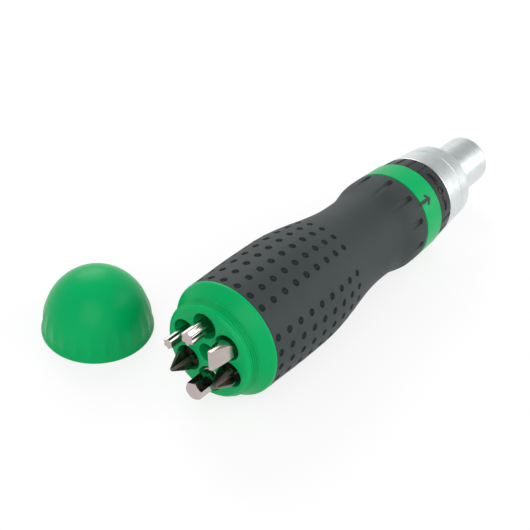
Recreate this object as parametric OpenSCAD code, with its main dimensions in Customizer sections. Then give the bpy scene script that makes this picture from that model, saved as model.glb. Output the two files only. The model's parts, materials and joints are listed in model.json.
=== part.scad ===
// Ratcheting screwdriver lying on the floor, with its screw cap off and standing beside it.
// Handle pieces are drawn along local Z, nose forward, with Z = 0 at the grip's rear edge.
// lay() then puts them on the floor: nose towards +X, local -X up, local Y to +Y.
// All sizes are in millimetres, all angles in degrees.

/* [Grip] */
// outside of the rubber grip at its bulge
grip_d = 36; // [33:0.5:39]
// outside of the rubber grip at its waist
waist_d = 27.8; // [26.5:0.1:30]
// outside of the rubber grip at its front edge
front_d = 31.2; // [30.4:0.1:33]
// length of the bulge, from the rear edge
bulge_len = 26; // [22:0.5:30]
// length of the taper from the bulge to the waist
taper_len = 36; // [30:0.5:40]
// length of the waist
waist_len = 4.8; // [3:0.1:8]
// length of the flare in front of the waist
flare_len = 10.2; // [8:0.1:13]
// length of the straight rim in front of the flare
rim_len = 5; // [4:0.1:7]
// thickness of the rubber over the core
rubber_t = 2.4; // [1.8:0.1:2.8]
// number of finger grooves round the front flare
groove_count = 12; // [8:1:16]
// largest radius of a finger groove
groove_r = 1.5; // [1:0.1:2]
// length of a finger groove
groove_len = 10; // [7:0.5:12]

/* [Storage end] */
// radius of the threaded neck under its ridges
neck_r = 14.1; // [13.6:0.1:14.6]
// height of a thread ridge
ridge_h = 0.4; // [0.2:0.05:0.5]
// number of thread ridges
ridge_count = 4; // [2:1:4]
// length of the flange in front of the neck
flange_len = 3.7; // [3:0.1:4.5]
// length of the neck
neck_len = 4.5; // [4:0.1:6]
// pitch radius of the six bit holes
hole_pitch_r = 8.5; // [8.3:0.1:9]
// free play between a bit's corners and its hole
hole_play = 0.3; // [0.2:0.05:0.35]
// radius of the empty middle hole
middle_hole_r = 2.8; // [2:0.1:3.2]
// depth of the empty middle hole
middle_hole_depth = 12; // [8:0.5:16]
// turn of the hole pattern from the right-hand side
hole_turn = 20; // [0:1:59]

/* [Bits] */
// width across the flats of a bit's hexagon
bit_flats = 6.35; // [6.35:0.01:6.35]
// radius that the hexagon's corners are turned to
bit_corner_r = 3.5; // [3.4:0.05:3.6]
// length of a bit
bit_len = 25; // [24:0.5:26]
// length of a bit's hexagon
bit_hex_len = 15; // [13:0.5:17]
// how far a bit stands out of the storage end
bit_out = 7; // [5:0.5:9]
// outside of the large star tip
star_large_d = 4.43; // [3.9:0.01:5]
// outside of the small star tip
star_small_d = 3.27; // [2.7:0.01:3.9]
// width of the slotted tip
slot_w = 6; // [5:0.1:6.4]
// thickness of the slotted tip at its end
slot_t = 1; // [0.8:0.05:1.2]
// width across the flats of the hexagon tip
hex_tip_flats = 5; // [4:0.5:5]
// radius of a cross tip's shaft
cross_r = 2.9; // [2.5:0.1:3]

/* [Front end] */
// length of the front collar
collar_len = 9.2; // [8.5:0.1:11]
// taper of the front collar over its length, in radius
collar_drop = 0.3; // [0.1:0.05:0.5]
// wall of the front collar round the ratchet body
collar_wall = 3.7; // [3.4:0.1:4]
// gap on each side of the selector ring
selector_gap = 0.3; // [0.2:0.05:0.4]
// length of the selector ring
selector_len = 6.7; // [6.6:0.1:8]
// taper of the selector ring over its length, in radius
selector_drop = 0.55; // [0.3:0.05:0.8]
// turn of the selector from its middle to either end
selector_turn = 17; // [14:1:18]
// depth of the selector's grip flutes
flute_depth = 0.6; // [0.3:0.05:0.7]
// length of the metal nose sleeve
sleeve_len = 15.1; // [13:0.1:18]
// taper of the nose sleeve over its length, in radius
sleeve_drop = 1.2; // [0.8:0.1:1.6]
// radius of the spindle's nose
nose_r = 8.57; // [8.2:0.01:10]
// length of the spindle's nose
nose_len = 20.7; // [18:0.1:26]
// rounding of the nose's end
nose_round = 1.4; // [0.5:0.1:2]
// direction of the arrow and of the selector's middle mark round the handle
mark_angle = 138; // [90:1:180]
// height of the moulded marks
mark_h = 0.3; // [0.2:0.05:0.4]

/* [Ratchet] */
// number of ratchet teeth
tooth_count = 24; // [24:12:36]
// outside radius of the ratchet teeth
gear_r = 7.2; // [7:0.05:7.25]
// depth of a ratchet tooth
tooth_depth = 0.8; // [0.7:0.05:0.9]
// width of the ratchet teeth
gear_w = 4; // [3.8:0.1:4.2]
// radius of the spindle's rear journal
journal_r = 4.5; // [4:0.1:4.8]
// radius of the spindle's front journal
front_journal_r = 7.5; // [7.4:0.05:7.8]
// running clearance of a shaft in its bore, in radius
run_play = 0.05; // [0.03:0.01:0.08]
// wall of the handle core round the ratchet body's shank
core_wall = 2.5; // [2:0.1:2.8]
// wall of the rear bushing
bush_t = 1; // [0.8:0.1:1.2]
// radius of a pawl's pin
pin_r = 0.75; // [0.6:0.05:0.8]
// wall of a pawl round its pin
pawl_wall = 0.55; // [0.5:0.05:0.6]
// radius of the wire of the pawl spring
wire_r = 0.35; // [0.25:0.05:0.35]
// radius of the detent ball
ball_r = 0.8; // [0.7:0.05:0.85]
// depth of the bit socket
socket_depth = 13; // [12:0.5:14]
// free play of the bit socket across its flats
socket_play = 0.1; // [0.05:0.05:0.15]

/* [Cap] */
// outside of the cap at its rim
cap_d = 33.7; // [33:0.1:35]
// height of the cap
cap_h = 20.2; // [19:0.1:23]
// wall of the cap
cap_t = 1.5; // [1.2:0.1:1.6]
// play between the cap's bore and the neck's ridges
cap_play = 0.25; // [0.15:0.05:0.3]
// number of flutes round the cap's skirt
cap_flutes = 24; // [16:2:30]
// place of the cap behind the grip's rear edge
cap_back = 4.2; // [0:0.1:20]
// distance of the cap from the handle's axis
cap_side = 46; // [40:0.5:60]

/* [Hidden] */
$fn = 72;

GREEN = [0.0, 0.6, 0.29];
BLACK = [0.2, 0.22, 0.22];
STEEL = [0.62, 0.63, 0.65];
DARK_STEEL = [0.3, 0.29, 0.28];
SATIN = [0.82, 0.84, 0.85];
BRASS = [0.75, 0.6, 0.35];
eps = 0.01;
full = 360;
half = 180;
quarter = 90;

// grip outline
bulge_z = bulge_len;
waist_z = bulge_z + taper_len;
flare_z = waist_z + waist_len;
full_z = flare_z + flare_len;
grip_len = full_z + rim_len;
edge_r = 0.4;
front_edge = 0.7;
front_lip = 0.25;
grip_steps = 12;
groove_out = 0.4;
groove_front = 2.4;
groove_lean = 8;
groove_tip_r = 0.3;
groove_turn = -14;
function blend(a, b, t) = a + (b - a) * (1 - cos(half * t)) / 2;
function grip_r(z) = z <= bulge_z ? grip_d / 2
    : z <= waist_z ? blend(grip_d / 2, waist_d / 2, (z - bulge_z) / (waist_z - bulge_z))
    : z <= flare_z ? waist_d / 2
    : z <= full_z ? blend(waist_d / 2, front_d / 2, (z - flare_z) / (full_z - flare_z))
    : front_d / 2;
grip_z = concat([0],
    [for (i = [0:grip_steps]) bulge_z + (waist_z - bulge_z) * i / grip_steps],
    [for (i = [0:grip_steps]) flare_z + (full_z - flare_z) * i / grip_steps],
    [grip_len]);
core_pts = [for (z = grip_z) [grip_r(z) - rubber_t, z]];
last = len(grip_z) - 1;

// storage end
foot_z = -flange_len;
face_z = foot_z - neck_len;
neck_chamfer = 0.7;
ridge_step = (neck_len - neck_chamfer) / ridge_count;
ridge_w = ridge_step / 3;
flange_slope = 0.4;
flange_round = 2.4;
flange_steps = 8;
hole_count = 6;
hole_step = full / hole_count;
hole_r = bit_corner_r + hole_play;
hole_floor = face_z + bit_len - bit_out;
hole_depth = bit_len - bit_out;

// front end, from the grip forward
collar_z = grip_len + collar_len;
collar_step = 0.05;
selector_step = 0.25;
sleeve_step = 0.1;
collar_r0 = front_d / 2 - collar_step;
collar_r1 = collar_r0 - collar_drop;
sel_z0 = collar_z + selector_gap;
sel_z1 = sel_z0 + selector_len;
sel_r0 = collar_r1 - selector_step;
sel_r1 = sel_r0 - selector_drop;
sleeve_z0 = sel_z1 + selector_gap;
sleeve_z1 = sleeve_z0 + sleeve_len;
sleeve_r0 = sel_r1 - sleeve_step;
nose_z0 = sleeve_z1 + selector_gap;
nose_z1 = nose_z0 + nose_len;

// ratchet, from the collar both ways
over = 1;
head_len = 7;
shank_len = 16;
well_len = 7;
well_step = 2;
spigot_len = 5;
spigot_step = 0.6;
head_r = collar_r1 - collar_wall;
head_z = collar_z - head_len;
shank_r = waist_d / 2 - rubber_t - core_wall;
body_z = head_z - shank_len;
well_r = shank_r - well_step;
spigot_r = head_r - spigot_step;
spigot_z = sleeve_z0 + spigot_len;
front_journal_z = spigot_z - over;
gear_inset = 0.6;
gear_z0 = sel_z0 + gear_inset;
gear_z1 = gear_z0 + gear_w;
gear_root_r = gear_r - tooth_depth;
gear_sink = 0.4;
gear_core_r = gear_root_r - gear_sink;
tooth_pitch = full / tooth_count;
chamber_gap = 0.8;
chamber_r = gear_r + chamber_gap;
washer_t = 1;
face_play = 0.1;
washer_z = gear_z0 - face_play - washer_t;
bush_r = journal_r + run_play + bush_t;
bush_len = 10;
bush_z = washer_z - bush_len;
clip_t = 0.8;
clip_depth = 0.7;
clip_height = 1.5;
clip_mouth = 60;
clip_z = body_z - face_play - clip_t;
clip_groove_r = journal_r - clip_depth;
clip_r = journal_r + clip_height;
tail_len = 1.6;
tail_z = clip_z - tail_len;
edge = 0.5;

// pawls and what moves them
window_play = 0.2;
window_back = 12;
window_ahead = 8;
pawl_z0 = gear_z0 + window_play;
pawl_z1 = gear_z1 - window_play;
wire_room = 1;
wire_seat = 0.05;
wire_in = head_r - wire_room;
wire_back = 1;
wire_side = 0.15;
wire_z = gear_z0 + wire_back;
wire_groove = 2 * (wire_r + wire_side);
wire_mouth = 60;
boss_r = pin_r + pawl_wall;
pivot_r = wire_in - boss_r;
pivot_angle = 30;
pawl_teeth = 2.5;
tip_angle = pivot_angle + pawl_teeth * tooth_pitch;
pin_back = 3;
pin_front = 1;
lobe_half = 4;
lobe_depth = 0.5;
lobe_len = 1.1;
lobe_room = 0.3;
lobe_turn_room = 2;

// detent in the collar's front face
detent_inset = 0.15;
detent_r = (head_r + collar_r1) / 2 - detent_inset;
ball_out = 0.6;
ball_z = collar_z + ball_out - ball_r;
ball_play = 0.12;
track_half = ball_r;
track_depth = ball_out - selector_gap + ball_play;
track_end = 4;
hollow_r = 0.55;
hollow_depth = 0.15;
ball_hole_r = ball_r + run_play;
ball_travel = 0.3;
detent_len = 6;
detent_wire = 0.16;
detent_coils = 5;

// bit socket
function hex_r(flats) = flats / 2 / cos(half / 6);
socket_r = hex_r(bit_flats + socket_play);
socket_z = nose_z1 - socket_depth;
magnet_r = 2.9;
magnet_len = 4;
mouth_chamfer = 0.7;
bit_clip_in = 4;
bit_clip_z = nose_z1 - bit_clip_in;
bit_clip_wire = 0.4;
bit_clip_r = socket_r + bit_clip_wire * 3 / 4;

// cap
cap_r = cap_d / 2;
cap_bore = neck_r + ridge_h + cap_play;
cap_end_room = 0.6;
cap_bore_h = neck_len + cap_end_room;
cap_ledge = 0.5;
cap_ridge_h = 0.3;
cap_ridge_w = 0.5;
cap_ridge_z = [3.5, 1.9];
cap_rim_h = 0.9;
cap_rim_edge = 0.4;
cap_rim_out = 0.75;
cap_shoulder_r = cap_r - cap_rim_out;
cap_shoulder_z = 2.7;
cap_steps = 14;
cap_flute_r = 1.3;
cap_flute_in = 0.28;
cap_flute_z = 1.7;
cap_flute_len = 9.5;
cap_flute_lean = 1;
cap_flute_top_r = cap_shoulder_r - cap_flute_lean;

// place on the floor: the bulge and the collar's front edge both touch it
slope = max([for (z = grip_z) (grip_r(z) - collar_r1) / (collar_z - z)]);
tilt = atan(slope);
axis_h = collar_z * sin(tilt) + collar_r1 * cos(tilt);
nose_x = (nose_z1 - nose_round) * cos(tilt) + (nose_r - nose_round) * sin(tilt) + nose_round;
axis_x = (cap_back + cap_r - nose_x) / 2;
axis_y = -(cap_side + cap_r - grip_d / 2) / 2;
cap_x = axis_x - cap_back;
cap_y = axis_y + cap_side;

module lay() {
    translate([axis_x, axis_y, axis_h]) rotate([0, quarter + tilt, 0]) children();
}

// turns to a direction round the handle, counted from +Y towards up
module round_to(angle) {
    rotate([0, 0, angle + quarter]) children();
}

// stands a flat shape on the surface: its -X runs forward along the handle
module stand_out(angle, z, r, h) {
    round_to(angle) translate([r, 0, z]) rotate([0, quarter, 0]) linear_extrude(h) children();
}

// ring of square section
module ring(r_in, r_out, z0, h) {
    rotate_extrude() translate([r_in, z0]) square([r_out - r_in, h]);
}

// part of a ring of square section
module arc(r_in, r_out, z0, h, from, to) {
    rotate([0, 0, from]) rotate_extrude(angle = to - from)
        translate([r_in, z0]) square([r_out - r_in, h]);
}

// handle core: storage end, inner tube and front collar in one moulding
function ridge_pts(i) = let (z = face_z + neck_chamfer + (i + 0.5) * ridge_step)
    [[neck_r, z - ridge_w], [neck_r + ridge_h, z - ridge_w / 3],
     [neck_r + ridge_h, z + ridge_w / 3], [neck_r, z + ridge_w]];
flange_pts = [for (i = [0:flange_steps]) let (t = quarter * i / flange_steps)
    [grip_d / 2 - flange_round * (1 - sin(t)), -(flange_len - flange_slope) * cos(t)]];

// pointer of the grip on the collar
arrow_len = 6.2;
arrow_w = 4.4;
arrow_head = 2.8;
arrow_barb = 0.6;
arrow_stem = 1.4;
arrow_inset = 0.7;
module arrow_shell() {
    neck = arrow_head - arrow_len;
    intersection() {
        stand_out(mark_angle, grip_len, head_r, collar_wall + over)
            polygon([[over, arrow_stem / 2], [over, -arrow_stem / 2], [neck, -arrow_stem / 2],
                [neck + arrow_barb, -arrow_w / 2], [-arrow_len, 0],
                [neck + arrow_barb, arrow_w / 2], [neck, arrow_stem / 2]]);
        rotate_extrude() polygon([[collar_r0 - arrow_inset, grip_len - over], [collar_r0, grip_len - over],
            [collar_r0 + mark_h, grip_len], [collar_r1 + mark_h, collar_z],
            [collar_r1 - arrow_inset, collar_z]]);
    }
}

module handle_core() {
    color(GREEN) lay() difference() {
        rotate_extrude() polygon(concat(
            [[0, face_z], [neck_r - neck_chamfer, face_z], [neck_r, face_z + neck_chamfer]],
            [for (i = [0:ridge_count - 1]) each ridge_pts(i)],
            [[neck_r, foot_z]], flange_pts, core_pts,
            [[collar_r0, grip_len], [collar_r1, collar_z], [0, collar_z]]));
        for (i = [0:hole_count - 1]) round_to(hole_turn + i * hole_step)
            translate([hole_pitch_r, 0, face_z - eps]) cylinder(r = hole_r, h = hole_depth + eps);
        translate([0, 0, face_z - eps]) cylinder(r = middle_hole_r, h = middle_hole_depth + eps);
        translate([0, 0, body_z - well_len]) cylinder(r = well_r, h = well_len + eps);
        translate([0, 0, body_z]) cylinder(r = shank_r, h = shank_len + eps);
        translate([0, 0, head_z]) cylinder(r = head_r, h = collar_z);
        round_to(mark_angle) translate([detent_r, 0, ball_z - ball_travel - detent_len])
            cylinder(r = ball_hole_r, h = detent_len + 2 * ball_r + over);
        arrow_shell();
    }
}

// rubber grip moulded over the core, with the pointer that runs onto the collar
module grip() {
    color(BLACK) lay() {
        difference() {
            rotate_extrude() polygon(concat(
                [[grip_r(0) - edge_r, 0], [grip_r(0), edge_r]],
                [for (i = [1:last - 1]) [grip_r(grip_z[i]), grip_z[i]]],
                [[front_d / 2, grip_len - front_edge], [front_d / 2 - front_lip, grip_len - front_lip],
                 [front_d / 2 - front_edge, grip_len]],
                [for (i = [0:last]) core_pts[last - i]]));
            for (i = [0:groove_count - 1]) round_to(mark_angle + groove_turn + i * full / groove_count)
                translate([front_d / 2 + groove_out, 0, full_z + groove_front]) {
                    sphere(r = groove_r);
                    rotate([half, groove_lean, 0]) cylinder(r1 = groove_r, r2 = groove_tip_r, h = groove_len);
                }
        }
        arrow_shell();
    }
}

// steel ratchet body pressed into the core, with the two pawl windows
module ratchet_body() {
    lobe_end = selector_turn + lobe_half + lobe_turn_room;
    color(STEEL) lay() difference() {
        rotate_extrude() polygon([[bush_r, body_z], [shank_r, body_z], [shank_r, head_z],
            [head_r, head_z], [head_r, sleeve_z0], [spigot_r, sleeve_z0], [spigot_r, spigot_z],
            [chamber_r, spigot_z], [chamber_r, washer_z], [bush_r, washer_z]]);
        ring(wire_in - wire_seat, head_r + over, wire_z - wire_groove / 2, wire_groove);
        arc(head_r - lobe_depth - lobe_room, head_r + over, pawl_z1 - lobe_len - lobe_room,
            lobe_len + 2 * lobe_room, -lobe_end, lobe_end);
        for (side = [-1, 1]) {
            from = side * (pivot_angle - window_back);
            to = side * (tip_angle + window_ahead);
            arc(gear_r, head_r + over, gear_z0, gear_w, min(from, to), max(from, to));
            pawl_pin_at(side);
        }
    }
}

// pin of one pawl, parallel to the handle's axis
module pawl_pin_at(side) {
    rotate([0, 0, side * pivot_angle]) translate([pivot_r, 0, gear_z0 - pin_back])
        cylinder(r = pin_r, h = pin_back + gear_w + pin_front);
}

module forward_pawl_pin() {
    color(STEEL) lay() pawl_pin_at(1);
}

module reverse_pawl_pin() {
    color(STEEL) lay() pawl_pin_at(-1);
}

module rear_bushing() {
    color(BRASS) lay() ring(journal_r + run_play, bush_r, bush_z, bush_len);
}

module thrust_washer() {
    color(BRASS) lay() ring(journal_r + run_play, chamber_r, washer_z, washer_t);
}

// open wire ring that hugs the backs of both pawls
module pawl_spring() {
    color(STEEL) lay() rotate([0, 0, (wire_mouth - full) / 2])
        rotate_extrude(angle = full - wire_mouth) translate([wire_in + wire_r, wire_z])
        circle(r = wire_r, $fn = 16);
}

// coil under the detent ball
module detent_spring() {
    coil_r = ball_hole_r - detent_wire - run_play;
    pitch = (detent_len - ball_r - face_play - 2 * detent_wire) / detent_coils;
    sides = 6;
    turns = 12;
    count = detent_coils * turns;
    pts = [for (i = [0:count], j = [0:sides - 1])
        let (a = full * i / turns, b = full * j / sides, r = coil_r + detent_wire * cos(b))
        [r * cos(a), r * sin(a), detent_wire + pitch * i / turns + detent_wire * sin(b)]];
    walls = [for (i = [0:count - 1], j = [0:sides - 1]) let (k = (j + 1) % sides)
        [i * sides + j, i * sides + k, (i + 1) * sides + k, (i + 1) * sides + j]];
    color(STEEL) lay() round_to(mark_angle)
        translate([detent_r, 0, ball_z - ball_travel - detent_len])
        polyhedron(pts, concat([[for (j = [0:sides - 1]) sides - 1 - j]], walls,
            [[for (j = [0:sides - 1]) count * sides + j]]), convexity = 6);
}

module detent_ball() {
    color(STEEL) lay() round_to(mark_angle) translate([detent_r, 0, ball_z]) sphere(r = ball_r);
}

// metal sleeve pressed on the ratchet body, with a turned line round it
line_in = 6.3;
line_w = 0.5;
line_d = 0.3;
sleeve_round = 1.5;
sleeve_edge = 0.3;
function sleeve_r(z) = sleeve_r0 - sleeve_drop * (z - sleeve_z0) / sleeve_len;
module nose_sleeve() {
    line_z = sleeve_z0 + line_in;
    end_z = sleeve_z1 - sleeve_round;
    steps = 6;
    color(SATIN) lay() rotate_extrude() polygon(concat(
        [[spigot_r, sleeve_z0], [sleeve_r0 - sleeve_edge, sleeve_z0], [sleeve_r0, sleeve_z0 + sleeve_edge],
         [sleeve_r(line_z), line_z], [sleeve_r(line_z) - line_d, line_z + line_w / 4],
         [sleeve_r(line_z) - line_d, line_z + line_w * 3 / 4], [sleeve_r(line_z + line_w), line_z + line_w]],
        [for (i = [0:steps]) let (t = quarter * i / steps)
            [sleeve_r(end_z) - sleeve_round * (1 - cos(t)), end_z + sleeve_round * sin(t)]],
        [[front_journal_r + run_play, sleeve_z1], [front_journal_r + run_play, spigot_z],
         [spigot_r, spigot_z]]));
}

// spindle: rear journal, ratchet teeth, front journal and the nose with the bit socket
module spindle() {
    round_steps = 6;
    color(SATIN) lay() difference() {
        union() {
            rotate_extrude() polygon(concat(
                [[0, tail_z], [journal_r - edge, tail_z], [journal_r, tail_z + edge], [journal_r, clip_z],
                 [clip_groove_r, clip_z], [clip_groove_r, clip_z + clip_t], [journal_r, clip_z + clip_t],
                 [journal_r, gear_z0], [gear_core_r, gear_z0], [gear_core_r, front_journal_z],
                 [front_journal_r, front_journal_z], [front_journal_r, nose_z0], [nose_r - edge, nose_z0],
                 [nose_r, nose_z0 + edge]],
                [for (i = [0:round_steps]) let (t = quarter * i / round_steps)
                    [nose_r - nose_round * (1 - cos(t)), nose_z1 - nose_round * (1 - sin(t))]],
                [[0, nose_z1]]));
            translate([0, 0, gear_z0]) linear_extrude(gear_w)
                polygon([for (i = [0:tooth_count - 1], k = [0:1])
                    polar(k == 0 ? gear_root_r : gear_r, (i + k / 2) * tooth_pitch + tip_angle)]);
        }
        translate([0, 0, socket_z]) cylinder(r = socket_r, h = socket_depth + eps, $fn = 6);
        translate([0, 0, socket_z - magnet_len]) cylinder(r = magnet_r, h = magnet_len + eps);
        translate([0, 0, nose_z1 - mouth_chamfer])
            cylinder(r1 = bit_flats / 2, r2 = socket_r + mouth_chamfer / 2, h = mouth_chamfer + eps);
        ring(magnet_r, bit_clip_r + bit_clip_wire, bit_clip_z - bit_clip_wire, 2 * bit_clip_wire);
    }
}

module retaining_ring() {
    color(DARK_STEEL) lay() arc(clip_groove_r, clip_r, clip_z, clip_t,
        clip_mouth / 2, full - clip_mouth / 2);
}

module socket_magnet() {
    color(DARK_STEEL) lay() translate([0, 0, socket_z - magnet_len])
        cylinder(r = magnet_r, h = magnet_len - face_play);
}

// open wire ring that holds a bit in the socket
module bit_clip() {
    color(STEEL) lay() rotate([0, 0, clip_mouth / 2])
        rotate_extrude(angle = full - clip_mouth) translate([bit_clip_r, bit_clip_z])
        circle(r = bit_clip_wire, $fn = 16);
}

// selector ring: grip flutes, detent track, cam lobe and the three marks
flute_step = 15;
pad_half = 36;
flute_r = 1.1;
ring_edge = 0.3;
mark_mid = (sel_z0 + sel_z1) / 2;
mark_top = (sel_r0 + sel_r1) / 2 + mark_h;
mark_foot = sel_r1 - flute_depth;
mark_r = 1.3;
mark_line = 0.5;
mark_rise = 0.4;
bar_from = 9;
bar_to = 26;
bar_sink = 0.08;
head_angle = 24;
head_half = 1.4;
head_len_out = 1.7;

// curved bar with an arrow head, one for each way of turning
module turn_mark(side) {
    from = side * bar_from;
    to = side * bar_to;
    round_to(mark_angle) arc(mark_foot - bar_sink, mark_top - bar_sink, mark_mid + mark_rise - mark_line / 2,
        mark_line, min(from, to), max(from, to));
    stand_out(mark_angle + side * head_angle, mark_mid + mark_rise, mark_foot, mark_top - mark_foot)
        polygon([[-head_half, 0], [head_half, 0], [0, side * head_len_out]]);
}

module selector_ring() {
    color(BLACK) lay() {
        difference() {
            rotate_extrude() polygon([[head_r + run_play, sel_z0], [sel_r0 - ring_edge, sel_z0],
                [sel_r0, sel_z0 + ring_edge], [sel_r1, sel_z1 - ring_edge], [sel_r1 - ring_edge, sel_z1],
                [head_r + run_play, sel_z1]]);
            for (a = [pad_half:flute_step:full - pad_half]) round_to(mark_angle + a)
                translate([(sel_r0 + sel_r1) / 2 + flute_r - flute_depth, 0, sel_z0 - eps])
                cylinder(r = flute_r, h = selector_len + 2 * eps);
            round_to(mark_angle) arc(detent_r - track_half, detent_r + track_half, sel_z0 - over,
                over + track_depth, -selector_turn - track_end, selector_turn + track_end);
            for (a = [-selector_turn, 0, selector_turn]) round_to(mark_angle + a)
                translate([detent_r, 0, sel_z0]) cylinder(r = hollow_r, h = track_depth + hollow_depth);
        }
        arc(head_r - lobe_depth, head_r + over, pawl_z1 - lobe_len, lobe_len, -lobe_half, lobe_half);
        stand_out(mark_angle, mark_mid, mark_foot, mark_top - mark_foot) difference() {
            circle(r = mark_r);
            circle(r = mark_r - mark_line);
        }
        turn_mark(1);
        turn_mark(-1);
    }
}

// pawl that turns on its pin, with one tooth between two teeth of the spindle
function polar(r, a) = [r * cos(a), r * sin(a)];
arm_start = 3;
tip_back = 1.5;
tip_bite = 0.45;
module pawl_at(side) {
    span = wire_in - gear_r;
    reach = tip_angle - pivot_angle;
    difference() {
        union() {
            rotate([0, 0, side * pivot_angle]) translate([pivot_r, 0, pawl_z0])
                cylinder(r = boss_r, h = pawl_z1 - pawl_z0);
            translate([0, 0, pawl_z0]) linear_extrude(pawl_z1 - pawl_z0) polygon([
                polar(pivot_r + boss_r * 0.8, side * (pivot_angle + arm_start)),
                polar(wire_in - span * 0.2, side * (pivot_angle + reach * 0.4)),
                polar(wire_in - span * 0.42, side * (pivot_angle + reach * 0.8)),
                polar(gear_r + span * 0.42, side * (tip_angle + tip_back)),
                polar(gear_r - tip_bite, side * tip_angle),
                polar(gear_r + span * 0.16, side * (tip_angle - tooth_pitch / 2)),
                polar(gear_r + span * 0.25, side * (pivot_angle + reach * 0.4)),
                polar(pivot_r - boss_r * 0.8, side * (pivot_angle + arm_start))]);
        }
        rotate([0, 0, side * pivot_angle]) translate([pivot_r, 0, pawl_z0 - over])
            cylinder(r = pin_r + run_play, h = gear_w + 2 * over);
    }
}

module forward_pawl() {
    color(DARK_STEEL) lay() pawl_at(1);
}

module reverse_pawl() {
    color(DARK_STEEL) lay() pawl_at(-1);
}

// screw cap standing on its rim
cap_pts = [for (i = [0:cap_steps]) let (t = quarter * i / cap_steps)
    [cap_shoulder_r * cos(t), cap_shoulder_z + (cap_h - cap_shoulder_z) * sin(t)]];
cap_in_r = cap_bore - cap_ledge;
cap_in_h = cap_h - cap_t - cap_bore_h;
cap_in_pts = [for (i = [0:cap_steps]) let (t = quarter * i / cap_steps)
    [cap_in_r * cos(t), cap_bore_h + cap_in_h * sin(t)]];
function cap_ridge_pts(z) = [[cap_bore, z + cap_ridge_w], [cap_bore - cap_ridge_h, z + cap_ridge_w / 3],
    [cap_bore - cap_ridge_h, z - cap_ridge_w / 3], [cap_bore, z - cap_ridge_w]];
module end_cap() {
    lean = atan((cap_shoulder_r - cap_flute_top_r) / cap_flute_len);
    color(GREEN) translate([cap_x, cap_y, 0]) difference() {
        rotate_extrude() polygon(concat(
            [[cap_bore, 0], [cap_r - cap_rim_edge, 0], [cap_r, cap_rim_edge], [cap_r, cap_rim_h]],
            cap_pts, [for (i = [0:cap_steps]) cap_in_pts[cap_steps - i]], [[cap_bore, cap_bore_h]],
            [for (z = cap_ridge_z) each cap_ridge_pts(z)]));
        for (i = [0:cap_flutes - 1]) rotate([0, 0, i * full / cap_flutes])
            translate([cap_shoulder_r + cap_flute_r - cap_flute_in, 0, cap_flute_z])
            rotate([0, -lean, 0]) {
                cylinder(r = cap_flute_r, h = cap_flute_len);
                sphere(r = cap_flute_r);
            }
    }
}

// bits: drawn tip up from the end of the hexagon, then turned into their holes
module in_hole(i) {
    lay() round_to(hole_turn + i * hole_step) translate([hole_pitch_r, 0, hole_floor])
        rotate([half, 0, 0]) children();
}

snap_z = 9;
snap_len = 1.5;
bit_edge = 0.5;
stem_step = 0.3;
stem_len = 1.2;
module bit_shank() {
    snap_r = bit_flats / 2;
    intersection() {
        cylinder(r = hex_r(bit_flats), h = bit_hex_len, $fn = 6);
        rotate_extrude() polygon([[0, 0], [bit_corner_r - bit_edge, 0], [bit_corner_r, bit_edge],
            [bit_corner_r, snap_z], [snap_r, snap_z + bit_edge], [snap_r, snap_z + snap_len],
            [bit_corner_r, snap_z + snap_len + bit_edge], [bit_corner_r, bit_hex_len - bit_edge],
            [bit_corner_r - bit_edge, bit_hex_len], [0, bit_hex_len]]);
    }
}

// round stem from the hexagon to the tip
stem_cone = 1;
module bit_stem(r, length) {
    translate([0, 0, bit_hex_len - eps]) cylinder(r1 = bit_flats / 2 - stem_step, r2 = r, h = stem_cone);
    translate([0, 0, bit_hex_len + stem_cone - 2 * eps]) cylinder(r = r, h = length);
}

tip_len = bit_len - bit_hex_len;
tip_z = bit_hex_len + stem_cone;
star_waist = 0.73;
star_points = 72;
star_shoulder = 0.2;
module star_tip(d) {
    mean = d / 4 * (1 + star_waist);
    swing = d / 4 * (1 - star_waist);
    bit_stem(d / 2 + star_shoulder, stem_len);
    translate([0, 0, tip_z]) linear_extrude(tip_len - stem_cone) polygon([for (i = [0:star_points - 1])
        let (a = full * i / star_points) polar(mean + swing * cos(6 * a), a)]);
}

module star_bit_large() {
    color(STEEL) in_hole(1) {
        bit_shank();
        star_tip(star_large_d);
    }
}

module star_bit_small() {
    color(STEEL) in_hole(0) {
        bit_shank();
        star_tip(star_small_d);
    }
}

slot_turn = 30;
module slotted_bit() {
    color(STEEL) in_hole(2) {
        bit_shank();
        bit_stem(slot_w / 2 - stem_step, stem_len / 2);
        rotate([0, 0, slot_turn]) intersection() {
            translate([0, 0, bit_hex_len]) cylinder(r = slot_w / 2, h = tip_len);
            rotate([quarter, 0, 0]) linear_extrude(slot_w + over, center = true) polygon([
                [-slot_w / 2, tip_z], [slot_w / 2, tip_z], [slot_t / 2, bit_len], [-slot_t / 2, bit_len]]);
        }
    }
}

// cross tip: a cone with four flutes, with finer grooves between them on the second kind
cross_end_r = 1;
cross_cone = 4.2;
cross_web = 0.5;
cross_lean = 14;
cross_run = 7;
cross_open = 0.9;
rib_r = 0.3;
rib_turn = 22;
rib_lean = 20;
rib_run = 4;
module cross_tip(ribs) {
    reach = cross_r + over;
    difference() {
        union() {
            bit_stem(cross_r, tip_len - cross_cone - stem_cone + 3 * eps);
            translate([0, 0, bit_len - cross_cone]) cylinder(r1 = cross_r, r2 = cross_end_r, h = cross_cone);
        }
        for (a = [0:quarter:full - 1]) rotate([0, 0, a]) translate([cross_web, cross_web, bit_len])
            rotate([0, 0, quarter / 2]) rotate([0, cross_lean, 0]) rotate([0, 0, -quarter / 2])
            translate([0, 0, -cross_run]) linear_extrude(cross_run + over)
            polygon([[0, 0], [reach, cross_open], [reach, reach], [cross_open, reach]]);
        if (ribs) for (a = [0:quarter:full - 1]) rotate([0, 0, a + rib_turn])
            translate([cross_end_r, 0, bit_len]) rotate([0, rib_lean, 0])
            translate([0, 0, -rib_run]) cylinder(r = rib_r, h = rib_run + over);
    }
}

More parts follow.
